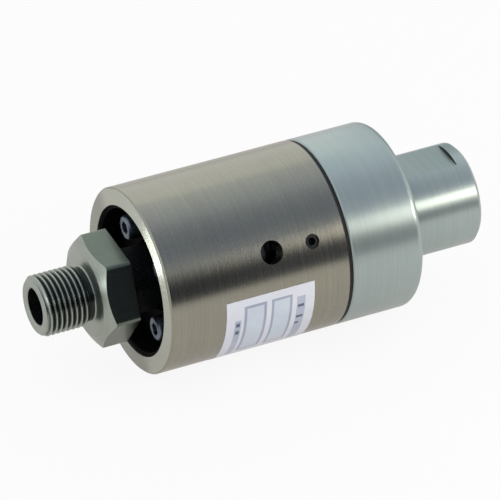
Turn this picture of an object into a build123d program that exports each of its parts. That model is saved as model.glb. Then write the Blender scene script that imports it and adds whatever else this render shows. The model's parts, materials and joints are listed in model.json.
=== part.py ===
from build123d import *
import os
from math import cos, radians, sin, tan

# Hydraulic rotary union, lying along X. The origin is the centre of the supply port's mouth, and the rotor's
# nipple points along -X. Stations are worked out from the sleeve's rim towards the port, all in millimetres.

# Rotor
nipple_radius = 10.4775  # G1/2 male thread, major diameter 20.955
nipple_length = 18.3
nipple_chamfer = 1.1
undercut_width = 2.5
undercut_depth = 1.3
hex_across_flats = 34.0
hex_length = 11.5
hex_face_radius = 14.8
hex_chamfer_angle = 30.0
hex_turn_angle = 6.0  # one corner is turned this far from +Y towards +Z
hex_standoff = 5.0  # from the hex's back to the sleeve's rim
flow_bore_radius = 6.3
neck_shoulder = 1.2  # the neck is this much larger in radius than the bearings' bore
neck_clearance = 1.0  # radial gap from the neck to the fixed pieces round it
tail_radius = 8.5
tail_setback = 1.7  # the rotor's tail ends this far in front of the sealing face
edge_break = 0.5

# Bearings, light series 20 x 37 x 9
bearing_bore_radius = 10.0
bearing_width = 9.0
ball_radius = 2.38
ball_count = 11
race_wall = 1.87  # from a ball to the bore, and from a ball to the outside
ball_clearance = 0.06
shoulder_gap = 1.45  # from the ball circle to the shoulder of either ring
cage_half_thickness = 0.8
cage_overhang = 0.9
pocket_clearance = 0.2

# Bearing carrier and front cover
carrier_wall = 3.0
carrier_end = 3.0  # reaches this far past the rear bearing
carrier_seat_length = 16.5
carrier_ring_offset = 9.9  # from the collar to the middle of the carrier's ring groove
gallery_width = 4.5  # ring-shaped drain space outside the carrier's neck
recess_depth = 8.5
cover_thickness = 3.5
cover_skirt = 1.2
cover_skirt_setback = 1.0
collar_length = 3.5
collar_width = 4.0
flange_behind_collar = 4.0
bearing_relief = 0.4
relief_reach = 1.5  # the relief stops this far inside the outer ring's edge
wiper_section = 2.8  # from the neck to the wiper's outside
wiper_length = 4.0
wiper_wall = 0.9
wiper_lip_length = 0.3
wiper_lip_slope = 0.6
circlip_thickness = 1.3
circlip_side_gap = 0.1
circlip_depth = 1.4
circlip_height = 3.0
circlip_opening_angle = 40.0

# Cover screws, M5
screw_count = 4
screw_land = 1.0  # wall between a screw and the wiper's pocket
screw_end_wall = 1.0  # each screw stops this far in front of the bearings
screw_start_angle = 50.0
screw_radius = 2.5
screw_head_radius = 4.25
screw_head_height = 5.0
screw_socket = 4.0
screw_socket_depth = 2.5
screw_hole_clearance = 0.25
screw_hole_spare = 0.1  # each tapped hole is this much deeper than its screw

# Sleeve
sleeve_wall = 6.0
sleeve_chamfer = 0.6
leak_hole_radius = 4.0
leak_hole_offset = 1.2  # behind the rear bearing's face
leak_hole_angle = 149.4  # from +Y towards +Z
thread_step = 1.0  # the cap's thread is this much larger in radius than the sleeve's bore
thread_runout = 2.0

# Lock nut, lock washer and rotating seal seat
washer_thickness = 1.0
tab_count = 11
tab_width = 2.6
tab_reach = 1.8
nut_width = 6.0
nut_clearance = 0.85  # radial gap from the nut to the snap ring
slot_count = 4
slot_width = 5.0
slot_depth = 2.0
seat_length = 6.5
seat_rim = 1.5  # the seat reaches this far outside the carbon face
seat_lip = 1.5
seat_groove_setback = 1.4
drive_pin_count = 2
drive_pin_start_angle = 45.0
drive_pin_radius = 1.5
drive_pin_length = 5.0
drive_pin_hold = 2.5
drive_pin_spare = 0.2  # depth left in the seat behind each drive pin

# Floating seal
film = 0.02  # oil film between the two sealing faces
face_inner_radius = 11.5
face_width = 4.0
face_length = 3.0
face_proud = 0.8
float_bore_radius = 7.0
float_tail_wall = 3.0
float_web = 0.6  # between the carbon face and the lock pins' holes
float_rim = 0.45  # wall outside the lock pins
float_clearance = 1.0  # radial gap from the carrier's head to the cap's spigot
float_travel = 2.0
stop_gap = 1.0  # left between the carrier's head and the cap at the end of its travel
spring_standoff = 3.2  # from the carrier's tail to the middle of the wire
spring_wire_radius = 0.8
spring_wire_sides = 8
spring_pocket_depth = 8.0
spring_pocket_side = 0.55
spring_end_gap = 0.1
spring_turns = 3.5
tail_beyond_groove = 1.4
tail_to_guide_end = 3.0
lock_pin_count = 2
lock_pin_radius = 1.25
lock_pin_wall = 0.5  # between the spring's pocket and the lock pins
lock_pin_hold = 5.0
lock_pin_reach = 2.0
lock_pin_spare = 0.4

# Rings of cord rubber
cord_radius = 0.7
cord_clearance = 0.15
groove_width = 2.6
groove_wall = 2.0  # between the spring's pocket and the floating ring's groove
backup_length = 1.6
backup_side_gap = 0.1

# End cap
spigot_lead = 4.0  # the spigot starts this far in front of the sealing face
spigot_to_flange = 5.0
joint_gap = 1.2
joint_setback = 0.7
cap_length = 26.5
cap_rounding = 2.5
cap_chamfer = 0.4
hub_length = 29.5
hub_radius = 17.5
hub_chamfer = 1.2
flat_depth = 1.5
flat_stop = 4.6  # the spanner flats end this far from the port's face
port_radius = 10.4775  # G1/2 female thread
port_depth = 16.0
port_chamfer = 0.4
port_cone = 1.5

# Locking grub screw, M5
grub_radius = 2.5
grub_from_joint = 12.2
grub_setback = 0.6
grub_socket = 2.5
grub_socket_depth = 2.2

# Fits
slip = 0.05  # radial clearance of turned pieces that are pushed together
running = 0.05  # radial clearance of a turning or sliding piece

tool_overrun = 1.0  # cutters run this far past the surface that they cut
match = 0.01  # edges are found within this distance of their place

# Radii
bearing_outer_radius = bearing_bore_radius + 2 * (race_wall + ball_radius)
ball_circle = bearing_bore_radius + race_wall + ball_radius
neck_radius = bearing_bore_radius + neck_shoulder
neck_hole_radius = neck_radius + neck_clearance
wiper_radius = neck_radius + wiper_section
screw_circle_radius = wiper_radius + screw_land + screw_radius
carrier_neck_radius = bearing_outer_radius + carrier_wall
bore_radius = carrier_neck_radius + gallery_width
sleeve_radius = bore_radius + sleeve_wall
thread_radius = bore_radius + thread_step
collar_radius = bore_radius - collar_width
undercut_radius = nipple_radius - undercut_depth
snap_outer = bearing_outer_radius + circlip_depth - slip
snap_inner = snap_outer - circlip_height
nut_radius = snap_inner - nut_clearance
washer_radius = nut_radius - slot_depth
drive_pin_circle = (bearing_bore_radius + nut_radius) / 2
face_outer_radius = face_inner_radius + face_width
seat_radius = face_outer_radius + seat_rim
float_tail_radius = float_bore_radius + float_tail_wall
guide_radius = float_tail_radius + running
ring_groove_radius = guide_radius + 2 * cord_radius + cord_clearance
spring_radius = float_tail_radius + spring_standoff
pocket_inner = spring_radius - spring_wire_radius - spring_pocket_side
pocket_outer = spring_radius + spring_wire_radius + spring_pocket_side
lock_pin_circle = pocket_outer + lock_pin_wall + lock_pin_radius
float_radius = lock_pin_circle + lock_pin_radius + float_rim
spigot_bore_radius = float_radius + float_clearance

# Stations along the axis, counted from the rim
cover_face = recess_depth
collar_front = cover_face + cover_thickness
collar_back = collar_front + collar_length
bearing_front = collar_back + flange_behind_collar
bearing_back = bearing_front + 2 * bearing_width
nut_front = bearing_back + washer_thickness
nut_back = nut_front + nut_width
seal_face = nut_back + seat_length
pin_hole_depth = lock_pin_reach + float_travel + lock_pin_spare
float_back = seal_face + face_length + float_web + pin_hole_depth
cap_inside = float_back + float_travel + stop_gap
cap_front = cap_inside + spigot_to_flange
sleeve_back = cap_front - joint_gap
cap_back = cap_front + cap_length
port_face = cap_back + hub_length
carrier_back = bearing_back + carrier_end
screw_end = bearing_front - screw_end_wall
hex_back = -hex_standoff
hex_front = hex_back - hex_length
nipple_tip = hex_front - nipple_length
tail_end = seal_face - tail_setback
spigot_front = seal_face - spigot_lead
spring_seat = cap_inside + spring_pocket_depth
ring_groove = spring_seat + groove_wall
backup_front = ring_groove + 2 * cord_radius + 2 * cord_clearance
backup_back = backup_front + backup_length
ring_groove_back = backup_back + backup_side_gap
float_tail_end = ring_groove_back + tail_beyond_groove
guide_end = float_tail_end + tail_to_guide_end
leak_hole = bearing_back + leak_hole_offset
grub = sleeve_back - grub_from_joint

pieces = []


def at(station):
    """X of a station counted from the sleeve's rim."""
    return station - port_face


def turned(*outline):
    """Solid of revolution about X from (station, radius) points."""
    with BuildPart() as solid:
        with BuildSketch(Plane.XY):
            with BuildLine():
                Polyline(*[(at(station), radius) for station, radius in outline], close=True)
            make_face()
        revolve(axis=Axis.X)
    return solid.part


def ring(front, back, inner, outer):
    """Plain turned ring between two stations."""
    return turned((front, inner), (back, inner), (back, outer), (front, outer))


def cord_ring(station, radius):
    """Rubber ring of round section."""
    with BuildPart() as solid:
        with BuildSketch(Plane.XY):
            with Locations((at(station), radius)):
                Circle(cord_radius)
        revolve(axis=Axis.X)
    return solid.part


def across(station):
    """Plane across the axis, looking along +X, with its own x along +Y."""
    return Plane.YZ.offset(at(station))


def radial(station, angle):
    """Plane on the axis whose normal points outwards at an angle from +Y towards +Z."""
    outwards = (0, cos(radians(angle)), sin(radians(angle)))
    return Plane(origin=(at(station), 0, 0), x_dir=(1, 0, 0), z_dir=outwards)


def rim_edges(part, station, radius):
    """Round edges of a part at one station and radius."""
    circles = part.edges().filter_by(GeomType.CIRCLE)
    here = circles.filter_by_position(Axis.X, at(station) - match, at(station) + match)
    return here.filter_by(lambda edge: abs(edge.radius - radius) < match)


def keep(part, name):
    """Name a finished piece and put it on the list to be written."""
    part.label = name
    pieces.append(part)


# Rotor: hexagon with a turned chamfer, then the turned shaft through it
hex_corner_radius = hex_across_flats / 2 / cos(radians(30))
chamfer_run = (hex_corner_radius - hex_face_radius) * tan(radians(hex_chamfer_angle))
with BuildPart() as rotor_shaft:
    with BuildSketch(across(hex_front)):
        RegularPolygon(hex_across_flats / 2, 6, major_radius=False, rotation=hex_turn_angle)
    extrude(amount=hex_length)
    add(
        turned(
            (hex_front, 0),
            (hex_back, 0),
            (hex_back, hex_corner_radius),
            (hex_front + chamfer_run, hex_corner_radius),
            (hex_front, hex_face_radius),
        ),
        mode=Mode.INTERSECT,
    )
    add(
        turned(
            (nipple_tip, 0),
            (nipple_tip, nipple_radius - nipple_chamfer),
            (nipple_tip + nipple_chamfer, nipple_radius),
            (hex_front - undercut_width, nipple_radius),
            (hex_front - undercut_width, undercut_radius),
            (hex_front, undercut_radius),
            (hex_front, neck_radius),
            (bearing_front, neck_radius),
            (bearing_front, bearing_bore_radius),
            (nut_back - edge_break, bearing_bore_radius),
            (nut_back, bearing_bore_radius - edge_break),
            (nut_back, tail_radius),
            (tail_end, tail_radius),
            (tail_end, 0),
        )
    )
    add(ring(nipple_tip, tail_end, 0, flow_bore_radius), mode=Mode.SUBTRACT)
    chamfer(rim_edges(rotor_shaft, nipple_tip, flow_bore_radius), edge_break)
keep(rotor_shaft.part, "rotor_shaft")


# Deep groove ball bearings
def inner_ring(front):
    middle = front + bearing_width / 2
    with BuildPart() as solid:
        add(ring(front, front + bearing_width, bearing_bore_radius, ball_circle - shoulder_gap))
        with BuildSketch(Plane.XY):
            with Locations((at(middle), ball_circle)):
                Circle(ball_radius + ball_clearance)
        revolve(axis=Axis.X, mode=Mode.SUBTRACT)
    return solid.part


def outer_ring(front):
    middle = front + bearing_width / 2
    with BuildPart() as solid:
        add(ring(front, front + bearing_width, ball_circle + shoulder_gap, bearing_outer_radius))
        with BuildSketch(Plane.XY):
            with Locations((at(middle), ball_circle)):
                Circle(ball_radius + ball_clearance)
        revolve(axis=Axis.X, mode=Mode.SUBTRACT)
    return solid.part


def balls(front):
    with BuildPart() as solids:
        with Locations(across(front + bearing_width / 2)):
            with PolarLocations(ball_circle, ball_count):
                Sphere(ball_radius)
    return solids.part


def cage(front):
    middle = front + bearing_width / 2
    half_width = ball_radius + cage_overhang
    with BuildPart() as solid:
        add(
            ring(
                middle - half_width,
                middle + half_width,
                ball_circle - cage_half_thickness,
                ball_circle + cage_half_thickness,
            )
        )
        for number in range(ball_count):
            with BuildSketch(radial(middle, 360 / ball_count * number)):
                Circle(ball_radius + pocket_clearance)
            extrude(amount=bearing_outer_radius, mode=Mode.SUBTRACT)
    return solid.part


for place, front in (("front", bearing_front), ("rear", bearing_front + bearing_width)):
    keep(inner_ring(front), f"{place}_bearing_inner_ring")
    keep(outer_ring(front), f"{place}_bearing_outer_ring")
    keep(balls(front), f"{place}_bearing_balls")
    keep(cage(front), f"{place}_bearing_cage")

# Bearing carrier: a boss through the sleeve's collar, a seat in its bore and a neck round the bearings
carrier_seat_back = collar_back + carrier_seat_length
carrier_ring = collar_back + carrier_ring_offset
circlip_groove = circlip_thickness + circlip_side_gap
with BuildPart() as bearing_carrier:
    add(
        turned(
            (collar_front, wiper_radius + slip),
            (collar_front, collar_radius - slip),
            (collar_back, collar_radius - slip),
            (collar_back, bore_radius - slip),
            (carrier_seat_back, bore_radius - slip),
            (carrier_seat_back, carrier_neck_radius),
            (carrier_back, carrier_neck_radius),
            (carrier_back, bearing_outer_radius),
            (bearing_back + circlip_groove, bearing_outer_radius),
            (bearing_back + circlip_groove, bearing_outer_radius + circlip_depth),
            (bearing_back, bearing_outer_radius + circlip_depth),
            (bearing_back, bearing_outer_radius),
            (bearing_front, bearing_outer_radius),
            (bearing_front, bearing_outer_radius - relief_reach),
            (bearing_front - bearing_relief, bearing_outer_radius - relief_reach),
            (bearing_front - bearing_relief, neck_hole_radius),
            (collar_front + wiper_length, neck_hole_radius),
            (collar_front + wiper_length, wiper_radius + slip),
        )
    )
    groove_floor = bore_radius - 2 * cord_radius - cord_clearance
    groove_front = carrier_ring - groove_width / 2
    add(ring(groove_front, groove_front + groove_width, groove_floor, sleeve_radius), mode=Mode.SUBTRACT)
    with BuildSketch(across(collar_front)):
        with PolarLocations(screw_circle_radius, screw_count, start_angle=screw_start_angle):
            Circle(screw_radius)
    extrude(amount=screw_end + screw_hole_spare - collar_front, mode=Mode.SUBTRACT)
keep(bearing_carrier.part, "bearing_carrier")
keep(cord_ring(carrier_ring, groove_floor + cord_radius + slip / 2), "carrier_o_ring")

# Snap ring behind the rear bearing
mouth = snap_outer + tool_overrun
mouth_half = radians(circlip_opening_angle / 2)
with BuildPart() as bearing_circlip:
    add(ring(bearing_back, bearing_back + circlip_thickness, snap_inner, snap_outer))
    with BuildSketch(across(bearing_back)):
        with BuildLine():
            Polyline(
                (0, 0),
                (mouth * tan(mouth_half), -mouth),
                (-mouth * tan(mouth_half), -mouth),
                close=True,
            )
        make_face()
    extrude(amount=circlip_thickness, mode=Mode.SUBTRACT)
keep(bearing_circlip.part, "bearing_circlip")

# Wiper ring in the carrier's front pocket, with a lip round the rotor's neck
lip = neck_radius + running
keep(
    turned(
        (collar_front, lip + wiper_lip_slope),
        (collar_front, wiper_radius),
        (collar_front + wiper_length - slip, wiper_radius),
        (collar_front + wiper_length - slip, wiper_radius - wiper_wall),
        (collar_front + wiper_wall + 2 * wiper_lip_length, wiper_radius - wiper_wall),
        (collar_front + wiper_wall + wiper_lip_length, lip),
        (collar_front + wiper_lip_length, lip),
    ),
    "shaft_wiper",
)

# Front cover: a cup that lines the sleeve's recess
cover_radius = bore_radius - slip
with BuildPart() as front_cover:
    add(
        turned(
            (cover_skirt_setback, cover_radius - cover_skirt),
            (cover_skirt_setback, cover_radius),
            (collar_front, cover_radius),
            (collar_front, neck_hole_radius),
            (cover_face, neck_hole_radius),
            (cover_face, cover_radius - cover_skirt),
        )
    )
    with BuildSketch(across(cover_face)):
        with PolarLocations(screw_circle_radius, screw_count, start_angle=screw_start_angle):
            Circle(screw_radius + screw_hole_clearance)
    extrude(amount=cover_thickness, mode=Mode.SUBTRACT)
keep(front_cover.part, "front_cover")

# Socket head screws that draw the cover and the carrier together over the collar
with BuildPart() as cover_screws:
    with BuildSketch(across(cover_face - screw_head_height)):
        with PolarLocations(screw_circle_radius, screw_count, start_angle=screw_start_angle):
            Circle(screw_head_radius)
    extrude(amount=screw_head_height)
    chamfer(cover_screws.edges().group_by(Axis.X)[0], edge_break)
    with BuildSketch(across(cover_face)):
        with PolarLocations(screw_circle_radius, screw_count, start_angle=screw_start_angle):
            Circle(screw_radius - slip)
    extrude(amount=screw_end - cover_face)
    with BuildSketch(across(cover_face - screw_head_height)):
        with PolarLocations(screw_circle_radius, screw_count, start_angle=screw_start_angle):
            RegularPolygon(screw_socket / 2, 6, major_radius=False)
    extrude(amount=screw_socket_depth, mode=Mode.SUBTRACT)
keep(cover_screws.part, "cover_screws")

# Sleeve: the outer casing, with a collar inside, the cap's thread at its back and two holes in its wall
with BuildPart() as housing_sleeve:
    add(
        turned(
            (0, bore_radius),
            (0, sleeve_radius - sleeve_chamfer),
            (sleeve_chamfer, sleeve_radius),
            (sleeve_back - cap_chamfer, sleeve_radius),
            (sleeve_back, sleeve_radius - cap_chamfer),
            (sleeve_back, thread_radius),
            (spigot_front - thread_runout, thread_radius),
            (spigot_front - thread_runout, bore_radius),
            (collar_back, bore_radius),
            (collar_back, collar_radius),
            (collar_front, collar_radius),
            (collar_front, bore_radius),
        )
    )
    with BuildSketch(radial(leak_hole, leak_hole_angle)):
        Circle(leak_hole_radius)
    extrude(amount=sleeve_radius + tool_overrun, mode=Mode.SUBTRACT)
    with BuildSketch(radial(grub, leak_hole_angle)):
        Circle(grub_radius)
    extrude(amount=sleeve_radius + tool_overrun, mode=Mode.SUBTRACT)
keep(housing_sleeve.part, "housing_sleeve")

with BuildPart() as locking_grub_screw:
    with BuildSketch(radial(grub, leak_hole_angle).offset(thread_radius)):
        Circle(grub_radius - slip)
    extrude(amount=sleeve_wall - thread_step - grub_setback)
    with BuildSketch(radial(grub, leak_hole_angle).offset(sleeve_radius - grub_setback - grub_socket_depth)):
        RegularPolygon(grub_socket / 2, 6, major_radius=False)
    extrude(amount=grub_socket_depth, mode=Mode.SUBTRACT)
keep(locking_grub_screw.part, "locking_grub_screw")

# Lock washer and slotted lock nut, which clamp both inner rings against the neck
with BuildPart() as lock_washer:
    with BuildSketch(across(bearing_back)):
        Circle(washer_radius)
        with PolarLocations(washer_radius, tab_count):
            Rectangle(2 * tab_reach, tab_width)
        Circle(bearing_bore_radius + slip, mode=Mode.SUBTRACT)
    extrude(amount=washer_thickness)
keep(lock_washer.part, "lock_washer")

with BuildPart() as lock_nut:
    with BuildSketch(across(nut_front)):
        Circle(nut_radius)
        with PolarLocations(nut_radius, slot_count):
            Rectangle(2 * slot_depth, slot_width, mode=Mode.SUBTRACT)
        Circle(bearing_bore_radius + slip, mode=Mode.SUBTRACT)
    extrude(amount=nut_width)
    with BuildSketch(across(nut_back - drive_pin_hold)):
        with PolarLocations(drive_pin_circle, drive_pin_count, start_angle=drive_pin_start_angle):
            Circle(drive_pin_radius)
    extrude(amount=drive_pin_hold, mode=Mode.SUBTRACT)
keep(lock_nut.part, "lock_nut")

# Rotating seal seat on the rotor's tail, driven by two pins in the nut
seat_groove = nut_back + seat_groove_setback
seat_groove_radius = tail_radius + 2 * cord_radius + cord_clearance
with BuildPart() as rotating_seal_seat:
    add(
        turned(
            (nut_back, tail_radius + slip),
            (nut_back, seat_radius - edge_break),
            (nut_back + edge_break, seat_radius),
            (seal_face - edge_break, seat_radius),
            (seal_face, seat_radius - edge_break),
            (seal_face, float_bore_radius),
            (seal_face - seat_lip, float_bore_radius),
            (seal_face - seat_lip, tail_radius + slip),
            (seat_groove + groove_width, tail_radius + slip),
            (seat_groove + groove_width, seat_groove_radius),
            (seat_groove, seat_groove_radius),
            (seat_groove, tail_radius + slip),
        )
    )
    with BuildSketch(across(nut_back)):
        with PolarLocations(drive_pin_circle, drive_pin_count, start_angle=drive_pin_start_angle):
            Circle(drive_pin_radius)
    extrude(amount=drive_pin_length - drive_pin_hold + drive_pin_spare, mode=Mode.SUBTRACT)
keep(rotating_seal_seat.part, "rotating_seal_seat")
keep(cord_ring(seat_groove + groove_width / 2, tail_radius + cord_radius + slip), "seat_o_ring")

with BuildPart() as seat_drive_pins:
    with BuildSketch(across(nut_back - drive_pin_hold)):
        with PolarLocations(drive_pin_circle, drive_pin_count, start_angle=drive_pin_start_angle):
            Circle(drive_pin_radius - slip)
    extrude(amount=drive_pin_length)
keep(seat_drive_pins.part, "seat_drive_pins")

# Floating seal carrier, its carbon face and the pins that stop it turning
float_front = seal_face + face_proud
face_back = seal_face + film + face_length
with BuildPart() as floating_seal_carrier:
    add(
        turned(
            (float_front, float_bore_radius),
            (float_front, face_inner_radius),
            (face_back, face_inner_radius),
            (face_back, face_outer_radius),
            (float_front, face_outer_radius),
            (float_front, float_radius - edge_break),
            (float_front + edge_break, float_radius),
            (float_back, float_radius),
            (float_back, float_tail_radius),
            (float_tail_end - edge_break, float_tail_radius),
            (float_tail_end, float_tail_radius - edge_break),
            (float_tail_end, float_bore_radius),
        )
    )
    with BuildSketch(across(float_back - pin_hole_depth)):
        with PolarLocations(lock_pin_circle, lock_pin_count):
            Circle(lock_pin_radius + 2 * running)
    extrude(amount=pin_hole_depth, mode=Mode.SUBTRACT)
keep(floating_seal_carrier.part, "floating_seal_carrier")
carbon_inner = face_inner_radius + slip
carbon_outer = face_outer_radius - slip
keep(ring(seal_face + film, face_back, carbon_inner, carbon_outer), "carbon_seal_face")

with BuildPart() as anti_rotation_pins:
    with BuildSketch(across(float_back - lock_pin_reach)):
        with PolarLocations(lock_pin_circle, lock_pin_count):
            Circle(lock_pin_radius)
    extrude(amount=lock_pin_reach + cap_inside - float_back + lock_pin_hold)
keep(anti_rotation_pins.part, "anti_rotation_pins")

# Thrust spring round the floating carrier's tail
spring_lift = spring_wire_radius + spring_end_gap
spring_height = spring_seat - float_back - 2 * spring_lift
spring_start = (at(float_back + spring_lift), 0, 0)
with BuildPart() as thrust_spring:
    with BuildLine():
        wire = Helix(spring_height / spring_turns, spring_height, spring_radius, spring_start, (1, 0, 0))
    with BuildSketch(Plane(origin=wire @ 0, z_dir=wire % 0)):
        RegularPolygon(spring_wire_radius, spring_wire_sides)
    sweep()
keep(thrust_spring.part, "thrust_spring")

# End cap: threaded spigot, round cap and hub with two spanner flats, bored from both ends
with BuildPart() as end_cap:
    add(
        turned(
            (spigot_front, spigot_bore_radius),
            (spigot_front, thread_radius - slip - edge_break),
            (spigot_front + edge_break, thread_radius - slip),
            (cap_front, thread_radius - slip),
            (cap_front, sleeve_radius - cap_chamfer),
            (cap_front + cap_chamfer, sleeve_radius),
            (cap_back, sleeve_radius),
            (cap_back, hub_radius),
            (port_face, hub_radius),
            (port_face, port_radius + port_chamfer),
            (port_face - port_chamfer, port_radius),
            (port_face - port_depth, port_radius),
            (port_face - port_depth - port_cone, float_bore_radius),
            (guide_end, float_bore_radius),
            (guide_end, guide_radius),
            (ring_groove_back, guide_radius),
            (ring_groove_back, ring_groove_radius),
            (ring_groove, ring_groove_radius),
            (ring_groove, guide_radius),
            (cap_inside, guide_radius),
            (cap_inside, pocket_inner),
            (spring_seat, pocket_inner),
            (spring_seat, pocket_outer),
            (cap_inside, pocket_outer),
            (cap_inside, spigot_bore_radius),
        )
    )
    fillet(rim_edges(end_cap, cap_back, sleeve_radius), cap_rounding)
    chamfer(rim_edges(end_cap, port_face, hub_radius), hub_chamfer)
    with BuildSketch(across(cap_back)):
        for side in (-1, 1):
            with Locations((0, side * (hub_radius - flat_depth / 2 + tool_overrun / 2))):
                Rectangle(2 * hub_radius, flat_depth + tool_overrun)
    extrude(amount=hub_length - flat_stop, mode=Mode.SUBTRACT)
    with BuildSketch(across(cap_inside)):
        with PolarLocations(lock_pin_circle, lock_pin_count):
            Circle(lock_pin_radius)
    extrude(amount=lock_pin_hold, mode=Mode.SUBTRACT)
keep(end_cap.part, "end_cap")
floating_ring = ring_groove + cord_radius + cord_clearance
keep(cord_ring(floating_ring, guide_radius + cord_radius + slip), "floating_o_ring")
keep(ring(backup_front, backup_back, guide_radius, ring_groove_radius - slip), "backup_ring")

# Gasket between the sleeve and the cap
keep(ring(sleeve_back, cap_front, thread_radius, sleeve_radius - joint_setback), "joint_gasket")

os.makedirs("parts", exist_ok=True)
for piece in pieces:
    export_step(piece, f"parts/{piece.label}.step")
print(f"{len(pieces)} pieces, {port_face - nipple_tip:.1f} mm long, {2 * sleeve_radius:.1f} mm across")
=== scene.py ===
import json
import math

import bmesh
import bpy
from mathutils import Matrix, Vector


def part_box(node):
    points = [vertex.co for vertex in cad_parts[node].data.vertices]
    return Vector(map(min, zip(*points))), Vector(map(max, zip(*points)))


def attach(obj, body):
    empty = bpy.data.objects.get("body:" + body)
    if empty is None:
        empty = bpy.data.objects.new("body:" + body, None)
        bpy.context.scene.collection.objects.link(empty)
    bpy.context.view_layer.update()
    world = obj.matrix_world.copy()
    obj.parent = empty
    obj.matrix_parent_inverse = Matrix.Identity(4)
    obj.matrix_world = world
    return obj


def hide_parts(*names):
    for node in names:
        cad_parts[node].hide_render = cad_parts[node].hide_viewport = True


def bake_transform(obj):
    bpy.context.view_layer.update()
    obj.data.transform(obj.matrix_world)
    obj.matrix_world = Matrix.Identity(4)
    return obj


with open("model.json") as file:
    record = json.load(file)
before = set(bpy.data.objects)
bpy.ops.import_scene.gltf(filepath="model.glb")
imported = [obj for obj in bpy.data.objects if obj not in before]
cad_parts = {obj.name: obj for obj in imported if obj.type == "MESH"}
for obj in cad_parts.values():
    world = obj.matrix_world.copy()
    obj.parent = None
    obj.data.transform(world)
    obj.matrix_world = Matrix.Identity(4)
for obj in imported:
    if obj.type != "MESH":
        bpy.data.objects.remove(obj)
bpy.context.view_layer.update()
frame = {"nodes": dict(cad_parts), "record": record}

# Hydraulic rotary union, lying along X with its supply port's mouth at the origin.
# Everything here is in metres; sizes that read better in millimetres go through mm().

nodes = frame["nodes"]


def mm(value):
    return value / 1000


def hexColour(code):
    # sRGB hex to the linear values that the shaders want
    parts = [int(code[start:start + 2], 16) / 255 for start in (1, 3, 5)]
    linear = [part / 12.92 if part <= 0.04045 else ((part + 0.055) / 1.055) ** 2.4 for part in parts]
    return (*linear, 1.0)


# Places read from the frame
sleeveLow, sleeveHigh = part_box("housing_sleeve")
rotorLow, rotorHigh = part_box("rotor_shaft")
rimX = sleeveLow.x  # the sleeve's front rim, station 0
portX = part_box("end_cap")[1].x  # the port's face
sleeveRadius = sleeveHigh.z


def station(distance):
    # X of a place that lies this many millimetres behind the rim
    return rimX + mm(distance)


def addNode(tree, kind, settings=None, links=None):
    # one node, its settings by name, and what feeds each of its inputs (a node's first output, or a socket)
    node = tree.nodes.new(kind)
    for name, value in (settings or {}).items():
        if isinstance(name, int) or (name in node.inputs and not hasattr(node, name)):
            node.inputs[name].default_value = value
        else:
            setattr(node, name, value)
    for name, source in (links or {}).items():
        tree.links.new(source.outputs[0] if hasattr(source, "outputs") else source, node.inputs[name])
    return node


def newMaterial(name):
    material = bpy.data.materials.new(name)
    material.use_nodes = True
    material.node_tree.nodes.clear()
    return material, material.node_tree


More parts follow.
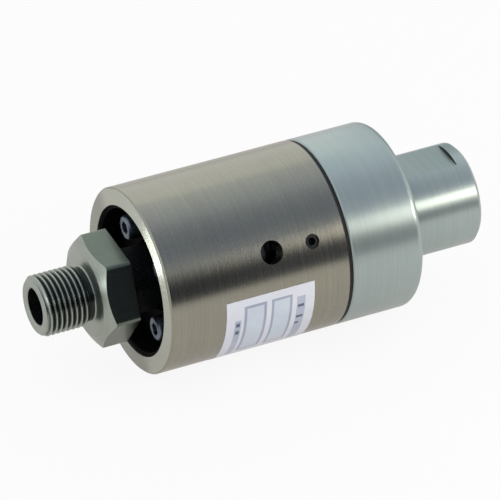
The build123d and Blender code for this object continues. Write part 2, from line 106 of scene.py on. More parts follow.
def machinedMetal(name, look):
    # Grain runs along look["grain"]: round X on what a lathe turned, along X on drawn bar.
    material, tree = newMaterial(name)
    place = addNode(tree, "ShaderNodeTexCoord").outputs["Object"]
    spot = addNode(tree, "ShaderNodeSeparateXYZ", None, {"Vector": place})
    flat = addNode(tree, "ShaderNodeCombineXYZ", None, {"Y": spot.outputs["Y"], "Z": spot.outputs["Z"]})
    reach = addNode(tree, "ShaderNodeVectorMath", {"operation": "LENGTH"}, {0: flat}).outputs["Value"]
    fine, long = 1 / mm(look["grooveWidth"]), 1 / mm(look["grooveLength"])
    scales = {
        "grooves": (fine, long, long) if look["grain"] == "turned" else (long, fine, fine),
        "stains": [1 / mm(look["patch"])] * 3,
        "specks": [1 / mm(look["speck"])] * 3,
    }
    fields = {}
    for field, scale in scales.items():
        spread = addNode(tree, "ShaderNodeMapping", {"Scale": scale}, {"Vector": place})
        fields[field] = addNode(tree, "ShaderNodeTexNoise", {"Scale": 1.0, "Detail": 3.0, "Roughness": 0.6},
                                {"Vector": spread})
    # coats over the bare metal, and painted shade in the thread's roots and on the flats' end wall, each
    # with the share of it that shows and its colour
    coatsAndPaintedShade = []
    for field, start, end, amount, colour in (("stains", 0.35, 0.7, look["stain"], look["stainColour"]),
                                              ("specks", 0.55, 0.75, look["speckle"], look["speckColour"])):
        share = addNode(tree, "ShaderNodeMapRange", {"From Min": start, "From Max": end, "To Max": amount},
                        {"Value": fields[field]})
        coatsAndPaintedShade.append((share, colour))
    if "rootRadius" in look:
        # oil and dust in the thread's roots, and painted shade there too: darker the nearer the root radius
        share = addNode(tree, "ShaderNodeMapRange",
                        {"From Min": mm(look["rootRadius"]), "From Max": mm(look["crestRadius"]),
                         "To Min": look["rootOilAndShadeShare"], "To Max": 0.0}, {"Value": reach})
        coatsAndPaintedShade.append((share, look["rootOilAndShadeColour"]))
    if "wallSetback" in look:
        # painted shade on the wall where the spanner flats end
        onWall = addNode(tree, "ShaderNodeMath",
                         {"operation": "COMPARE", 1: portX - mm(look["wallSetback"]),
                          2: mm(look["wallBand"])}, {0: spot.outputs["X"]})
        inside = addNode(tree, "ShaderNodeMath", {"operation": "LESS_THAN", 1: mm(look["wallRadius"])},
                         {0: reach})
        share = addNode(tree, "ShaderNodeMath", {"operation": "MULTIPLY"}, {0: onWall, 1: inside})
        coatsAndPaintedShade.append((share, look["wallShadeColour"]))
    height = addNode(tree, "ShaderNodeMath", {"operation": "MULTIPLY_ADD", 1: look["speckRelief"]},
                     {0: fields["specks"], 2: fields["grooves"]})
    facing = {}
    if "facedReach" in look:
        # the faced rim is lighter and slightly crowned, its real rings of 0.1 mm drawn 0.4 mm apart
        onFace = addNode(tree, "ShaderNodeMath", {"operation": "LESS_THAN", 1: station(look["facedReach"])},
                         {0: spot.outputs["X"]})
        coatsAndPaintedShade.append((onFace, look["facedColour"]))
        rings = addNode(tree, "ShaderNodeTexNoise",
                        {"noise_dimensions": "1D", "Scale": 1 / mm(look["facedRing"]), "Detail": 1.0},
                        {"W": reach})
        rings = addNode(tree, "ShaderNodeMath",
                        {"operation": "MULTIPLY", 1: look["facedDepth"] / look["grooveDepth"]}, {0: rings})
        height = addNode(tree, "ShaderNodeMath", {"operation": "MULTIPLY_ADD"},
                         {0: onFace, 1: rings, 2: height})
        outward = addNode(tree, "ShaderNodeVectorMath", {"operation": "NORMALIZE"}, {0: flat})
        lean = addNode(tree, "ShaderNodeMath",
                       {"operation": "MULTIPLY", 1: math.tan(math.radians(look["crown"]))}, {0: onFace})
        outward = addNode(tree, "ShaderNodeVectorMath", {"operation": "SCALE"},
                          {0: outward, "Scale": lean})
        normal = addNode(tree, "ShaderNodeNewGeometry").outputs["Normal"]
        crowned = addNode(tree, "ShaderNodeVectorMath", {"operation": "ADD"}, {0: normal, 1: outward})
        facing = {"Normal": addNode(tree, "ShaderNodeVectorMath", {"operation": "NORMALIZE"}, {0: crowned})}
    lines = addNode(tree, "ShaderNodeMapRange", {"From Min": 0.3, "From Max": 0.7},
                    {"Value": fields["grooves"]})
    layer = addNode(tree, "ShaderNodeMix",
                    {"data_type": "RGBA", 6: hexColour(look["dark"]), 7: hexColour(look["light"])},
                    {0: lines})
    for share, colour in coatsAndPaintedShade:
        layer = addNode(tree, "ShaderNodeMix", {"data_type": "RGBA", 7: hexColour(colour)},
                        {0: share, 6: layer.outputs[2]})
    rough = addNode(tree, "ShaderNodeMapRange",
                    {"From Min": 0.3, "From Max": 0.7, "To Min": look["rough"] - look["roughSpread"],
                     "To Max": look["rough"] + look["roughSpread"]}, {"Value": fields["grooves"]})
    bump = addNode(tree, "ShaderNodeBump", {"Strength": 1.0, "Distance": mm(look["grooveDepth"])},
                   {"Height": height, **facing})
    tangent = addNode(tree, "ShaderNodeTangent", {"direction_type": "RADIAL", "axis": "X"})
    shader = addNode(tree, "ShaderNodeBsdfPrincipled",
                     {"Metallic": look["metallic"], "Anisotropic": look["anisotropy"],
                      "Anisotropic Rotation": 0.25 if look["grain"] == "turned" else 0.0,
                      "Specular Tint": hexColour(look["edgeTint"])},
                     {"Base Color": layer.outputs[2], "Roughness": rough, "Normal": bump,
                      "Tangent": tangent})
    addNode(tree, "ShaderNodeOutputMaterial", None, {"Surface": shader})
    return material


def mouldedMaterial(name, look):
    # Non-metals and coatings: a fine grain in the surface and a faint mottle in the colour.
    material, tree = newMaterial(name)
    place = addNode(tree, "ShaderNodeTexCoord").outputs["Object"]
    grain = addNode(tree, "ShaderNodeTexNoise", {"Scale": 1 / mm(look["grain"]), "Detail": 3.0},
                    {"Vector": place})
    mottle = addNode(tree, "ShaderNodeTexNoise", {"Scale": 1 / mm(look["patch"])}, {"Vector": place})
    share = addNode(tree, "ShaderNodeMapRange", {"From Min": 0.3, "From Max": 0.7}, {"Value": mottle})
    tint = addNode(tree, "ShaderNodeMix",
                   {"data_type": "RGBA", 6: hexColour(look["dark"]), 7: hexColour(look["light"])},
                   {0: share})
    rough = addNode(tree, "ShaderNodeMapRange",
                    {"From Min": 0.3, "From Max": 0.7, "To Min": look["rough"] - look["roughSpread"],
                     "To Max": look["rough"] + look["roughSpread"]}, {"Value": grain})
    bump = addNode(tree, "ShaderNodeBump", {"Strength": look["bump"], "Distance": mm(look["depth"])},
                   {"Height": grain})
    shader = addNode(tree, "ShaderNodeBsdfPrincipled",
                     {"IOR": look["ior"], "Specular IOR Level": look.get("specular", 0.5)},
                     {"Base Color": tint.outputs[2], "Roughness": rough, "Normal": bump})
    addNode(tree, "ShaderNodeOutputMaterial", None, {"Surface": shader})
    return material


# Metals. A real turning mark is about 0.2 mm wide, too fine to show, so grooves are drawn 0.4 mm wide or
# more. Widths, depths and radii are in millimetres.
turnedSteelLook = {
    "grain": "turned", "grooveWidth": 0.55, "grooveLength": 45, "grooveDepth": 0.0013,
    "light": "#9b9b8e", "dark": "#919184", "patch": 14, "stain": 0.35, "stainColour": "#8f8c88",
    "speck": 0.9, "speckle": 0.12, "speckColour": "#6f6c62", "speckRelief": 0.12,
    "rough": 0.27, "roughSpread": 0.015, "metallic": 1.0, "anisotropy": 0.55, "edgeTint": "#f0f0f0",
}
sleeveLook = dict(turnedSteelLook, facedReach=0.08, facedRing=0.4, facedDepth=0.04, facedColour="#aeb3a9",
                  crown=28)
zincCapLook = dict(turnedSteelLook, grooveWidth=0.7, grooveDepth=0.0015, light="#a3b0ae", dark="#9aa7a5",
                   patch=22, stain=0.3, stainColour="#94a1a7", speckle=0.08, speckColour="#8a9490",
                   rough=0.31, roughSpread=0.02, metallic=0.72, anisotropy=0.4)
# the port cap carries a painted shade line on the step wall where the spanner flats end
portCapLook = dict(zincCapLook, wallSetback=4.6, wallBand=0.05, wallRadius=17.4, wallShadeColour="#1c2321")
zincRotorLook = dict(zincCapLook, grooveWidth=0.5, light="#a3aca4", dark="#929b92", patch=6, stain=0.4,
                     stainColour="#949a93", speck=0.7, speckle=0.2, rough=0.32, metallic=0.95)
# the thread's roots and undercut take a dark colour that is partly oil, partly painted shade
threadLook = dict(zincRotorLook, rootRadius=9.5, crestRadius=10.35, rootOilAndShadeShare=0.9, rootOilAndShadeColour="#24292c",
                  rough=0.27)
# painted shade for the rotor's bore and for its neck, seat and tail behind the hexagon
boreAndNeckShadeLook = dict(zincRotorLook, light="#2a2d2e", dark="#1b1d1e", stainColour="#202224", rough=0.5)
drawnHexLook = dict(zincRotorLook, grain="drawn", grooveWidth=0.4, grooveLength=25, light="#6c756b",
                    dark="#626c63", stainColour="#5c6660", speckle=0.1, rough=0.22, anisotropy=0.0)
plainSteelLook = dict(turnedSteelLook, light="#9a9a9a", dark="#868686", stainColour="#7f7f80", rough=0.35)
screwSteelLook = dict(zincRotorLook, light="#77848f", dark="#66727d", stainColour="#5f6b78", patch=3,
                      grooveLength=8, rough=0.36)
groundSteelLook = dict(plainSteelLook, light="#b4b4b6", dark="#a6a6a8", rough=0.18)
springSteelLook = dict(plainSteelLook, grain="drawn", light="#77777a", dark="#626265", rough=0.3)
grubLook = dict(turnedSteelLook, grooveLength=6, light="#3a3c3e", dark="#2c2e30", stainColour="#2f3133",
                patch=3, rough=0.3)

metals = {
    "sleeve_steel": machinedMetal("turnedSleeveSteel", sleeveLook),  # warm satin with fine round lines
    "cap_steel": machinedMetal("zincPlatedCap", portCapLook),  # cooler and smoother, a clear band of light
    "rotor_steel": machinedMetal("zincPlatedRotor", zincRotorLook),  # greenish grey, a little worn
    "hexFlats": machinedMetal("zincPlatedDrawnHex", drawnHexLook),  # lengthwise lines of drawn bar
    "thread": machinedMetal("zincPlatedThread", threadLook),  # bright crests over roots darkened by oil and by painted shade
    "bore": machinedMetal("paintedShadeBoreAndNeck", boreAndNeckShadeLook),  # nearly black: painted shade inside the bore and behind the hexagon
    "carrier_steel": machinedMetal("plainTurnedSteel", plainSteelLook),  # unplated grey steel
    "screw_steel": machinedMetal("zincPlatedScrews", screwSteelLook),  # blue-grey, small and bright
    "hardened_steel": machinedMetal("lappedHardSteel", groundSteelLook),  # near mirror
    "bearing_steel": machinedMetal("groundBearingSteel", dict(groundSteelLook, rough=0.12)),  # mirror
    "spring_steel": machinedMetal("drawnSpringWire", springSteelLook),  # dark drawn wire
    "grubScrew": machinedMetal("blackenedGrubScrew", grubLook),  # dark, thinly oiled
}

# Rubber, plastics and coatings
rubberLook = {"light": "#17171a", "dark": "#0d0d0f", "grain": 0.3, "patch": 5, "rough": 0.62,
              "roughSpread": 0.08, "bump": 0.3, "depth": 0.03, "ior": 1.52}
blackOxideLook = dict(rubberLook, light="#070708", dark="#040405", patch=8, rough=0.65, bump=0.15, ior=1.5,
                      specular=0.04)
ptfeLook = dict(rubberLook, light="#e4e3dc", dark="#d6d4ca", rough=0.45, ior=1.38)
nylonLook = dict(rubberLook, light="#d8cdb2", dark="#c9bd9f", rough=0.4, ior=1.53)
carbonLook = dict(rubberLook, light="#2c2d2f", dark="#1f2022", rough=0.25, bump=0.1)

dressings = {
    "rubber": mouldedMaterial("nitrileRubber", rubberLook),  # dull black with a moulded skin
    "black_steel": mouldedMaterial("blackOxideSteel", blackOxideLook),  # oiled black, hardly a shine
    "ptfe": mouldedMaterial("machinedPtfe", ptfeLook),  # waxy white
    "nylon": mouldedMaterial("mouldedNylon", nylonLook),  # cream bearing cages
    "carbon": mouldedMaterial("lappedCarbonGraphite", carbonLook),  # dark grey, smooth face
}
print("materials made")


# Every CAD node takes its slot's finish, but for the grub screw, which has its own
for subPart in frame["record"]["subparts"]:
    slotName = subPart["material_slot"]
    node = nodes[subPart["node"]]
    node.data.materials.clear()
    node.data.materials.append(metals.get(slotName) or dressings.get(slotName))
nodes["locking_grub_screw"].data.materials[0] = metals["grubScrew"]
print("CAD nodes dressed")


# Mesh helpers
def aroundAxis(x, radius, angle):
    # angle 0 is +Y and a quarter turn is +Z
    return Vector((x, radius * math.cos(angle), radius * math.sin(angle)))


def addRing(work, x, radius, angles):
    # x and radius may be functions of the angle, for hexagons and knurls
    reach = radius if callable(radius) else (lambda angle: radius)
    place = x if callable(x) else (lambda angle: x)
    return [work.verts.new(aroundAxis(place(angle), reach(angle), angle)) for angle in angles]


def joinRings(work, rings, slot=0):
    for first, second in zip(rings, rings[1:]):
        for column in range(len(first)):
            following = (column + 1) % len(first)
            corners = (first[column], first[following], second[following], second[column])
            work.faces.new(corners).material_index = slot


def evenAngles(count, start=0.0):
    return [start + 2 * math.pi * number / count for number in range(count)]


def hexRadius(across, turn, cornerRadius=math.inf):
    # distance from the axis to a hexagon's side, with its corners cut back to cornerRadius
    def reach(angle):
        away = (angle - turn) % (math.pi / 3) - math.pi / 6
        return min(across / 2 / math.cos(away), cornerRadius)
    return reach


meshing = {"weld": 0.0008, "shortestEdge": 0.0005, "crease": 32}


def finishMesh(work, name, materials, body, crease=meshing["crease"]):
    # welds and shades a mesh, and makes it a piece, attached to its body when it has one
    bmesh.ops.remove_doubles(work, verts=work.verts, dist=mm(meshing["weld"]))
    bmesh.ops.dissolve_degenerate(work, edges=work.edges, dist=mm(meshing["shortestEdge"]))
    bmesh.ops.recalc_face_normals(work, faces=work.faces)
    for face in work.faces:
        face.smooth = True
    for edge in work.edges:
        edge.smooth = edge.is_manifold and edge.calc_face_angle(0.0) < math.radians(crease)
    piece = bpy.data.objects.new(name, bpy.data.meshes.new(name))
    work.to_mesh(piece.data)
    work.free()
    bpy.context.scene.collection.objects.link(piece)
    for material in materials:
        piece.data.materials.append(material)
    if body:
        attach(piece, body)
    return piece


# G1/2 pipe thread, cut as a true right-hand helix
pipeThread = {"pitch": mm(1.814), "depth": mm(1.162), "crest": mm(10.4775), "flank": 1.15, "rows": 14,
              "columns": 240}


def threadHeight(phase):
    # 1 on the thread's crest, 0 in its root, both rounded
    away = abs(phase - 0.5) * 2
    return 0.5 + 0.5 * math.sin(math.pi / 2 * max(-1.0, min(1.0, (1 - 2 * away) * pipeThread["flank"])))


def threadRings(work, start, end, radiusOf, angles):
    # Each row climbs by one pitch per turn, and a column's rows beyond either end close up on that end.
    pitch, rowsPerTurn = pipeThread["pitch"], pipeThread["rows"]
    rowCount = int((end - start) / pitch * rowsPerTurn) + rowsPerTurn + 2
    rows = []
    for row in range(rowCount):
        ring = []
        for column in range(len(angles) + 1):
            x = start + pitch * (row / rowsPerTurn - 1 + column / len(angles))
            x = max(start, min(end, x))
            angle = angles[0] + 2 * math.pi * column / len(angles)
            ring.append(work.verts.new(aroundAxis(x, radiusOf(x, row % rowsPerTurn / rowsPerTurn), angle)))
        rows.append(ring)
    for first, second in zip(rows, rows[1:]):
        for column in range(len(angles)):
            work.faces.new((first[column], first[column + 1], second[column + 1], second[column]))


# Rotor: nipple, hexagon, neck and tail in one turned piece
rotor = {
    # in millimetres and degrees; fronts, backs and ends are stations
    "tipRadius": 9.25, "tipSlope": 1.0, "leadIn": 1.25, "bore": 6.3, "boreBreak": 0.5, "faceBreak": 0.25,
    "undercutFront": -18.4, "undercutRadius": 9.18, "undercutFillet": 0.5, "filletSteps": 4,
    "hexFront": -16.5, "hexBack": -5.0, "hexAcross": 34.0, "hexFace": 14.8, "hexFaceRound": 0.15,
    "hexFaceDrop": 0.05, "hexSlope": 30, "hexTurn": 6, "hexBreak": 0.25, "cornerRadius": 19.42,
    "neck": 11.2, "neckBreak": 0.6, "shoulder": 19.5, "seat": 10.0, "nutEnd": 44.5, "tail": 8.5,
    "edge": 0.5, "boreFinishReach": 0.2, "backFinishStart": 0.3,
}


def makeRotor():
    work = bmesh.new()
    tip, tail = rotorLow.x, rotorHigh.x
    angles = evenAngles(pipeThread["columns"], math.radians(rotor["hexTurn"]))
    undercut = station(rotor["undercutFront"])
    tipRadius, grooveRadius = mm(rotor["tipRadius"]), mm(rotor["undercutRadius"])
    finishes = ["rotor_steel", "hexFlats", "thread", "bore"]

    # threaded nipple
    def nippleRadius(x, phase):
        threadRadius = pipeThread["crest"] - pipeThread["depth"] * (1 - threadHeight(phase))
        return min(threadRadius, tipRadius + (x - tip) * rotor["tipSlope"],
                   grooveRadius + (undercut - x) * rotor["tipSlope"])

    threadRings(work, tip, undercut, nippleRadius, angles)
    for face in work.faces:
        if face.calc_center_median().x > tip + mm(rotor["leadIn"]):
            face.material_index = finishes.index("thread")

    # undercut and hexagon
    hexReach = hexRadius(mm(rotor["hexAcross"]), math.radians(rotor["hexTurn"]), mm(rotor["cornerRadius"]))
    slope = math.tan(math.radians(rotor["hexSlope"]))
    hexFront, hexBack, hexFace = station(rotor["hexFront"]), station(rotor["hexBack"]), mm(rotor["hexFace"])
    fillet, edge, rim = mm(rotor["undercutFillet"]), mm(rotor["edge"]), mm(rotor["hexBreak"])
    outline = [(undercut, grooveRadius), (hexFront - fillet, grooveRadius)]
    for step in range(1, rotor["filletSteps"] + 1):
        bend = math.pi / 2 * step / rotor["filletSteps"]
        outline.append((hexFront - fillet * (1 - math.sin(bend)),
                        grooveRadius + fillet * (1 - math.cos(bend))))
    outline += [
        (hexFront, (hexFace + grooveRadius) / 2),
        (hexFront, hexFace - mm(rotor["hexFaceRound"])),
        (hexFront + mm(rotor["hexFaceDrop"]), hexFace),
    ]

    def chamferEdge(angle):
        # where the hexagon's front chamfer meets its flats
        return hexFront + (hexReach(angle) - hexFace) * slope

    front = [addRing(work, x, radius, angles) for x, radius in outline]
    front.append(addRing(work, chamferEdge, hexReach, angles))
    joinRings(work, front)
    sides = [front[-1]]
    for share in (0.25, 0.5, 0.75, 1.0):
        sides.append(addRing(work, lambda angle: chamferEdge(angle) * (1 - share) + (hexBack - rim) * share,
                             hexReach, angles))
    sides.append(addRing(work, hexBack, lambda angle: hexReach(angle) - rim, angles))
    joinRings(work, sides, slot=finishes.index("hexFlats"))

    # neck, bearings' seat, tail, bore and the nipple's end
    neck, neckBreak = mm(rotor["neck"]), mm(rotor["neckBreak"])
    bore, boreBreak = mm(rotor["bore"]), mm(rotor["boreBreak"])
    seat, tailRadius = mm(rotor["seat"]), mm(rotor["tail"])
    outline = [
        (hexBack, neck + neckBreak),
        (hexBack + neckBreak, neck),
        (station(rotor["shoulder"]), neck),
        (station(rotor["shoulder"]), seat),
        (station(rotor["nutEnd"]) - edge, seat),
        (station(rotor["nutEnd"]), seat - edge),
        (station(rotor["nutEnd"]), tailRadius),
        (tail - edge, tailRadius),
        (tail, tailRadius - edge),
        (tail, bore + boreBreak),
        (tail - boreBreak, bore),
        (tip + boreBreak, bore),
        (tip, bore + boreBreak),
        (tip, tipRadius - mm(rotor["faceBreak"])),
        (tip, tipRadius),
    ]
    joinRings(work, [sides[-1]] + [addRing(work, x, radius, angles) for x, radius in outline])

    # painted shade: the bore and all that lies behind the hexagon take the nearly black finish
    for face in work.faces:
        middle = face.calc_center_median()
        inBore = math.hypot(middle.y, middle.z) < bore + mm(rotor["boreFinishReach"])
        if inBore or middle.x > hexBack + mm(rotor["backFinishStart"]):
            face.material_index = finishes.index("bore")
        elif undercut < middle.x < hexFront - fillet:
            face.material_index = finishes.index("thread")
    materials = [metals[finish] for finish in finishes]
    piece = finishMesh(work, "threaded_rotor", materials, "rotor")
    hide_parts("rotor_shaft")


makeRotor()
print("rotor made")


# The port's own thread, a helical ridge inside the cap's bore
portThread = {"length": 13.2, "mouth": 0.45, "runOut": 0.6, "lip": 0.01, "hold": 0.06}


def makePortThread():
    work = bmesh.new()
    crest, depth = pipeThread["crest"], pipeThread["depth"]
    lip, hold = crest - mm(portThread["lip"]), crest + mm(portThread["hold"])
    start, end = portX - mm(portThread["length"]), portX - mm(portThread["mouth"])
    angles = evenAngles(pipeThread["columns"])

    def boreRadius(x, phase):
        reach = crest - depth * threadHeight(phase)
        return max(reach, lip - (end - x), lip - (x - start) * portThread["runOut"])

    threadRings(work, start, end, boreRadius, angles)
    outside = ((start, lip), (start, hold), (end, hold), (end, lip))
    joinRings(work, [addRing(work, x, radius, angles) for x, radius in outside])
    finishMesh(work, "port_thread", [metals["cap_steel"]], "housing")


makePortThread()
print("port thread made")


# Socket head cap screws, knurled, in the black recess
capScrew = {
    "count": 4, "circle": 17.5, "firstAngle": 50, "headFace": 3.5, "head": 4.25, "headHeight": 5.0,
    "socket": 4.0, "socketDepth": 2.5, "socketBreak": 0.15, "cone": 0.7, "coneShare": 0.9,
    "crownInner": 0.75, "crownOuter": 0.45, "crownDrop": 0.12,
    "knurls": 36, "knurlDepth": 0.14, "knurlFront": 0.5, "knurlFullFront": 0.62, "knurlFullBack": 0.25,
    "knurlBack": 0.1, "backBreak": 0.3, "shank": 2.45, "necking": 0.25, "neckingReach": 0.2, "length": 10.0,
    "pointBreak": 0.5, "columns": 144,
}


def makeCapScrews():
    work = bmesh.new()
    screw, angles = capScrew, evenAngles(capScrew["columns"])
    socket = hexRadius(mm(screw["socket"]), 0.0)
    head, depth = mm(screw["head"]), mm(screw["knurlDepth"])

    def knurl(angle):
        return head - depth * (0.5 + 0.5 * math.cos(screw["knurls"] * angle))

    def socketMouth(angle):
        return socket(angle) + mm(screw["socketBreak"])

    # the outline runs from the socket's floor over the head to the point, with the head's face at x 0
    back, shank, point = mm(screw["headHeight"]), mm(screw["shank"]), mm(screw["pointBreak"])
    tip = back + mm(screw["length"])
    outline = [
        (mm(screw["socketDepth"] + screw["cone"]), 0.0),
        (mm(screw["socketDepth"]), mm(screw["socket"] / 2 * screw["coneShare"])),
        (mm(screw["socketDepth"]), socket),
        (mm(screw["socketBreak"]), socket),
        (0.0, socketMouth),
        (0.0, head - mm(screw["crownInner"])),
        (mm(screw["crownDrop"]), head - mm(screw["crownOuter"])),
        (mm(screw["knurlFront"]), head - depth),
        (mm(screw["knurlFullFront"]), knurl),
        (back - mm(screw["knurlFullBack"]), knurl),
        (back - mm(screw["knurlBack"]), head - depth),
        (back, head - mm(screw["backBreak"])),
        (back, shank + mm(screw["necking"])),
        (back + mm(screw["neckingReach"]), shank),
        (tip - point, shank),
        (tip, shank - point),
        (tip, 0.0),
    ]
    for number in range(screw["count"]):
        joinRings(work, [addRing(work, x, radius, angles) for x, radius in outline])
        place = math.radians(screw["firstAngle"] + 360 / screw["count"] * number)
        centre = aroundAxis(station(screw["headFace"]), mm(screw["circle"]), place)
        fresh = [vertex for vertex in work.verts if not vertex.tag]
        for vertex in fresh:
            vertex.co += centre
            vertex.tag = True
    piece = finishMesh(work, "knurled_cover_screws", [metals["screw_steel"]], "housing", 28)
    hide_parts("cover_screws")


makeCapScrews()
print("cover screws made")


# Thrust spring, whose coils close up as the seal carrier floats back
spring = {"wire": 0.8, "turns": 3.5, "sides": 12, "stepsPerTurn": 48}


def makeSpring():
    work = bmesh.new()
    low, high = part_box("thrust_spring")
    wire = mm(spring["wire"])
    start, end, coil = low.x + wire, high.x - wire, high.z - wire
    steps = round(spring["turns"] * spring["stepsPerTurn"])
    rings = []
    for step in range(steps + 1):
        turn = 2 * math.pi * spring["turns"] * step / steps
        centre = aroundAxis(start + (end - start) * step / steps, coil, turn)
        outward = aroundAxis(0, 1, turn)
        ring = []
        for angle in evenAngles(spring["sides"]):
            ring.append(work.verts.new(centre + outward * wire * math.cos(angle)
                                       + Vector((wire * math.sin(angle), 0, 0))))
        rings.append(ring)
    joinRings(work, rings)
    for cut in (rings[0], rings[-1]):
        work.faces.new(cut)
    piece = finishMesh(work, "thrust_spring_coil", [metals["spring_steel"]], None)
    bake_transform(piece)
    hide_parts("thrust_spring")


makeSpring()
print("spring made")


# Rating label: a curved film with plain boxes and bars
label = {
    "front": 20.0, "back": 52.3, "topAngle": 173.2, "height": 37.0, "thickness": 0.1, "step": 0.8,
    # each patch is front, back, top and bottom, in millimetres from the rim and from the label's top edge,
    # and a frame adds the width of its line
    "frames": [(26.5, 34.7, 2.8, 26.4, 1.0), (36.5, 44.1, 2.8, 26.4, 0.9)],
    "blocks": [(23.1, 25.4, 7.8, 28.0), (45.8, 48.9, 4.4, 28.2)],
    "bars": [(23.6, 25.0, 9.0, 10.6), (23.6, 25.0, 12.4, 14.2), (46.2, 48.5, 7.7, 8.9),
             (46.0, 48.5, 12.7, 13.9), (45.9, 47.4, 16.0, 17.2)],
}
labelFilm = {"light": "#dadce6", "dark": "#d3d6e0", "grain": 0.4, "patch": 9, "rough": 0.32,
             "roughSpread": 0.04, "bump": 0.08, "depth": 0.01, "ior": 1.49}
panelTint = dict(labelFilm, light="#c9d2dd", dark="#c1cad7")
lineInk = dict(labelFilm, light="#a2a9bc", dark="#979fb3")
blockInk = dict(labelFilm, light="#b3bacb", dark="#a7aec1")
barInk = dict(labelFilm, light="#5d6484", dark="#50576f")
labelInks = {
    "film": mouldedMaterial("printedPolyesterFilm", labelFilm),  # smooth bluish white
    "panel": mouldedMaterial("printedPanelTint", panelTint),  # a pale tint inside the frames
    "line": mouldedMaterial("screenPrintedInk", lineInk),  # soft grey frames
    "block": mouldedMaterial("screenPrintedHalftone", blockInk),  # pale blocks in place of words
    "bar": mouldedMaterial("screenPrintedDarkInk", barInk),  # short dark bars
}


def cutsOf(low, high, marks, step):
    # every mark inside the range, with the gaps between them split to about one step
    edges = sorted({low, high, *[value for value in marks if low < value < high]})
    cuts = []
    for first, second in zip(edges, edges[1:]):
        parts = max(1, round((second - first) / step))
        cuts += [first + (second - first) * part / parts for part in range(parts)]
    return cuts + [high]


def makeLabel():
    work = bmesh.new()
    patches = []
    for front, back, top, bottom, line in label["frames"]:
        patches.append((front, back, top, bottom, "line"))
        patches.append((front + line, back - line, top + line, bottom - line, "panel"))
    patches += [(*block, "block") for block in label["blocks"]] + [(*bar, "bar") for bar in label["bars"]]
    columns = cutsOf(label["front"], label["back"], [edge for patch in patches for edge in patch[:2]],
                     label["step"] * 2)
    rows = cutsOf(0.0, label["height"], [edge for patch in patches for edge in patch[2:4]], label["step"])
    top = math.radians(label["topAngle"])
    skin = sleeveRadius + mm(label["thickness"])

    def spot(along, down, radius):
        return aroundAxis(station(along), radius, top + mm(down) / sleeveRadius)

    grid = [[work.verts.new(spot(along, down, skin)) for along in columns] for down in rows]
    for row, down in enumerate(rows[:-1]):
        for column, along in enumerate(columns[:-1]):
            middleX, middleY = (along + columns[column + 1]) / 2, (down + rows[row + 1]) / 2
            face = work.faces.new((grid[row][column], grid[row][column + 1],
                                   grid[row + 1][column + 1], grid[row + 1][column]))
            for front, back, upper, lower, ink in patches:
                if front < middleX < back and upper < middleY < lower:
                    face.material_index = list(labelInks).index(ink)
    border = ([(row, 0) for row in range(len(rows))]
              + [(len(rows) - 1, column) for column in range(1, len(columns))]
              + [(row, len(columns) - 1) for row in range(len(rows) - 2, -1, -1)]
              + [(0, column) for column in range(len(columns) - 2, 0, -1)])
    under = [work.verts.new(spot(columns[column], rows[row], sleeveRadius)) for row, column in border]
    for number, (row, column) in enumerate(border):
        nextRow, nextColumn = border[(number + 1) % len(border)]
        work.faces.new((grid[row][column], grid[nextRow][nextColumn],
                        under[(number + 1) % len(border)], under[number]))
    finishMesh(work, "rating_label", labelInks.values(), "housing")


makeLabel()
print("label made")


# Studio: a pale floor in a white room, curved cards for the metal to mirror, and soft lamps
studio = {
    "floorSize": 6.0, "floorWhite": "#dcdcdc", "floorSeen": 0.9, "floorMirrored": 0.62,
    "floorTint": "#fff7f3", "worldStrength": 1.0,
}


def stageObject(name, work, material):
    mesh = bpy.data.meshes.new(name)
    work.to_mesh(mesh)
    work.free()
    mesh.materials.append(material)
    thing = bpy.data.objects.new(name, mesh)
    bpy.context.scene.collection.objects.link(thing)
    return thing


def makeFloor():
    work = bmesh.new()
    half = studio["floorSize"] / 2
    corners = [(-half, -half), (half, -half), (half, half), (-half, half)]
    work.faces.new([work.verts.new((x, y, sleeveLow.z)) for x, y in corners])
    material, tree = newMaterial("whitePaintedFloor")
    path = addNode(tree, "ShaderNodeLightPath")
    mirrored = addNode(tree, "ShaderNodeMath", {"operation": "MAXIMUM"},
                       {0: path.outputs["Is Glossy Ray"], 1: path.outputs["Is Transmission Ray"]})
    mirrored = addNode(tree, "ShaderNodeMath", {"operation": "MULTIPLY", 1: studio["floorMirrored"]},
                       {0: mirrored})
    seen = addNode(tree, "ShaderNodeMath", {"operation": "MULTIPLY", 1: studio["floorSeen"]},
                   {0: path.outputs["Is Camera Ray"]})
    share = addNode(tree, "ShaderNodeMath", {"operation": "MAXIMUM"}, {0: seen, 1: mirrored})
    shade = addNode(tree, "ShaderNodeMix",
                    {"data_type": "RGBA", 6: hexColour(studio["floorTint"]), 7: hexColour("#ffffff")},
                    {0: path.outputs["Is Camera Ray"]})
    glow = addNode(tree, "ShaderNodeEmission", {"Strength": 1.0}, {"Color": shade.outputs[2]})
    paint = addNode(tree, "ShaderNodeBsdfDiffuse", {"Color": hexColour(studio["floorWhite"])})
    both = addNode(tree, "ShaderNodeMixShader", None, {0: share, 1: paint, 2: glow})
    addNode(tree, "ShaderNodeOutputMaterial", None, {"Surface": both})
    stageObject("studioFloor", work, material)


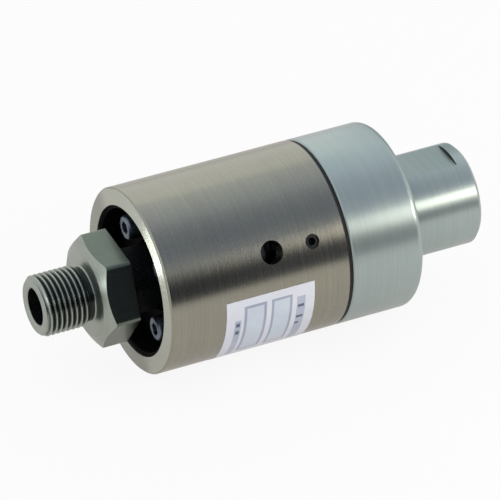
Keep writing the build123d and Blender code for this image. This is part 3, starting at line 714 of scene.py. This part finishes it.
def makeCard(name, look):
    # a curved card round the part's axis, bright by itself, which only mirrors find
    work = bmesh.new()
    first, last = look["tones"][0][0], look["tones"][-1][0]
    strips = 60
    angles = [math.radians(first + (last - first) * step / strips) for step in range(strips + 1)]
    edges = [[work.verts.new(aroundAxis(x, look["radius"], angle)) for angle in angles]
             for x in (look["front"], look["back"])]
    for number in range(strips):
        work.faces.new((edges[0][number], edges[1][number], edges[1][number + 1], edges[0][number + 1]))
    material, tree = newMaterial(name)
    place = addNode(tree, "ShaderNodeTexCoord").outputs["Object"]
    spot = addNode(tree, "ShaderNodeSeparateXYZ", None, {"Vector": place})
    ahead = addNode(tree, "ShaderNodeMath", {"operation": "MULTIPLY", 1: -1.0}, {0: spot.outputs["Y"]})
    turn = addNode(tree, "ShaderNodeMath", {"operation": "ARCTAN2"}, {0: spot.outputs["Z"], 1: ahead})
    share = addNode(tree, "ShaderNodeMapRange", {"From Min": math.pi - math.radians(first),
                                                 "From Max": math.pi - math.radians(last)}, {"Value": turn})
    tones = addNode(tree, "ShaderNodeValToRGB", None, {"Fac": share})
    ramp = tones.color_ramp
    for angle, tone in look["tones"][1:-1]:
        ramp.elements.new((angle - first) / (last - first))
    for element, (angle, tone) in zip(ramp.elements, look["tones"]):
        element.color = hexColour(tone)
    glow = addNode(tree, "ShaderNodeEmission", {"Strength": 1.0}, {"Color": tones})
    addNode(tree, "ShaderNodeOutputMaterial", None, {"Surface": glow})
    card = stageObject(name, work, material)
    card.visible_camera = card.visible_diffuse = card.visible_shadow = False


def makeLamp(name, look):
    lamp = bpy.data.lights.new(name, "AREA")
    lamp.shape = "RECTANGLE"
    lamp.size, lamp.size_y = look["along"], look["across"]
    lamp.color = hexColour(look["colour"])[:3]
    lamp.energy = math.pi * look["along"] * look["across"] * look["radiance"]
    holder = bpy.data.objects.new(name, lamp)
    turn, aim = math.radians(look["turn"]), Vector(look["aim"])
    holder.location = aim + Vector((look["forward"], math.cos(turn) * look["distance"],
                                    math.sin(turn) * look["distance"]))
    away = (holder.location - aim).normalized()
    side = (Vector((1, 0, 0)) - away * away.x).normalized()
    if look.get("level"):
        side = Vector((0, 0, 1)).cross(away).normalized()
    holder.rotation_euler = Matrix((side, away.cross(side), away)).transposed().to_euler()
    holder.visible_camera = False
    bpy.context.scene.collection.objects.link(holder)
    if "reach" in look:
        reached = bpy.data.collections.new(name + "Reach")
        for nodeName in look["reach"]:
            reached.objects.link(nodes[nodeName])
        holder.light_linking.receiver_collection = reached


cards = {
    # tones: how light a card is round the part, by the angle in degrees from +Y over the top
    "frontCard": {"radius": 1.35, "front": -1.4, "back": 1.6, "tones": [
        (50, "#f5faff"), (62, "#f2f8ff"), (84, "#d6ddeb"), (96, "#b8c0d0"), (108, "#a5adbe"),
        (120, "#9aa3b6"), (132, "#9fa8b9"), (146, "#a4acbb"), (155, "#888f9e"), (162, "#3f4554"),
        (168, "#2a3042"), (176, "#30364a"), (184, "#3a3f4a")]},
    "greyFlag": {"radius": 0.35, "front": 0.012, "back": 0.5, "tones": [
        (166, "#585b66"), (172, "#555862"), (186, "#5c5f6a")]},
    "darkFlag": {"radius": 0.35, "front": -0.4, "back": 0.012, "tones": [
        (150, "#2a3040"), (156, "#0c1222"), (186, "#0e1626")]},
    "hubCard": {"radius": 0.16, "front": 0.03, "back": 0.5, "tones": [
        (-12, "#9aa8a8"), (20, "#a4b2b2"), (44, "#b9c4c6"), (58, "#dde6ea")]},
}
lamps = {
    # turn is measured like the cards' angle; reach names the only pieces that a lamp lights
    "windowLamp": {"turn": 150, "distance": 0.25, "forward": 0.18, "aim": (-0.01, 0, 0), "along": 0.16,
                   "across": 0.08, "colour": "#fff4e4", "radiance": 7.0},
    "capLamp": {"turn": 153, "distance": 0.25, "forward": 0.15, "aim": (-0.01, 0, 0), "along": 0.16,
                "across": 0.09, "colour": "#fff4e4", "radiance": 1.95, "reach": ["end_cap"]},
    "backLamp": {"turn": 28, "distance": 1.0, "forward": 0.35, "aim": (-0.05, 0, 0), "along": 1.8,
                 "across": 0.9, "colour": "#f2f6f4", "radiance": 0.3},
    "sideLamp": {"turn": -20, "distance": 0.07, "forward": -0.4, "aim": (-0.14, -0.01, 0.012),
                 "level": True, "along": 0.06, "across": 0.03, "colour": "#fbfcff", "radiance": 14.0},
    "rimLamp": {"turn": 17, "distance": 0.24, "forward": -1.0, "aim": (-0.123, -0.015, 0.02),
                "level": True, "along": 0.56, "across": 0.14, "colour": "#fdfdf6", "radiance": 4.5,
                "reach": ["housing_sleeve"]},
}

makeFloor()
for cardName, cardLook in cards.items():
    makeCard(cardName, cardLook)
for lampName, lampLook in lamps.items():
    makeLamp(lampName, lampLook)

world = bpy.data.worlds.new("whiteStudio")
world.use_nodes = True
background = world.node_tree.nodes["Background"]
background.inputs["Color"].default_value = hexColour("#ffffff")
background.inputs["Strength"].default_value = studio["worldStrength"]
bpy.context.scene.world = world
bpy.context.scene.view_settings.view_transform = "Standard"

# Camera: from the front left, above the part, with a long lens
eye = {"azimuth": -26.33, "elevation": 33.29, "distance": 2.0, "aside": 0.0397, "above": 0.0103,
       "lens": 435.3, "sensor": 36, "clipStart": 0.05, "clipEnd": 20}
azimuth, elevation = math.radians(eye["azimuth"]), math.radians(eye["elevation"])
backward = Vector((math.sin(azimuth) * math.cos(elevation), -math.cos(azimuth) * math.cos(elevation),
                   math.sin(elevation)))
rightward = Vector((math.cos(azimuth), math.sin(azimuth), 0))
upward = backward.cross(rightward)
camera = bpy.data.objects.new("camera", bpy.data.cameras.new("camera"))
camera.data.lens, camera.data.sensor_width = eye["lens"], eye["sensor"]
camera.data.clip_start, camera.data.clip_end = eye["clipStart"], eye["clipEnd"]
camera.location = (Vector((rimX, 0, 0)) + backward * eye["distance"] + rightward * eye["aside"]
                   + upward * eye["above"])
camera.rotation_mode = "QUATERNION"
camera.rotation_quaternion = Matrix((rightward, upward, backward)).transposed().to_quaternion()
bpy.context.scene.collection.objects.link(camera)
bpy.context.scene.camera = camera
print("studio ready")
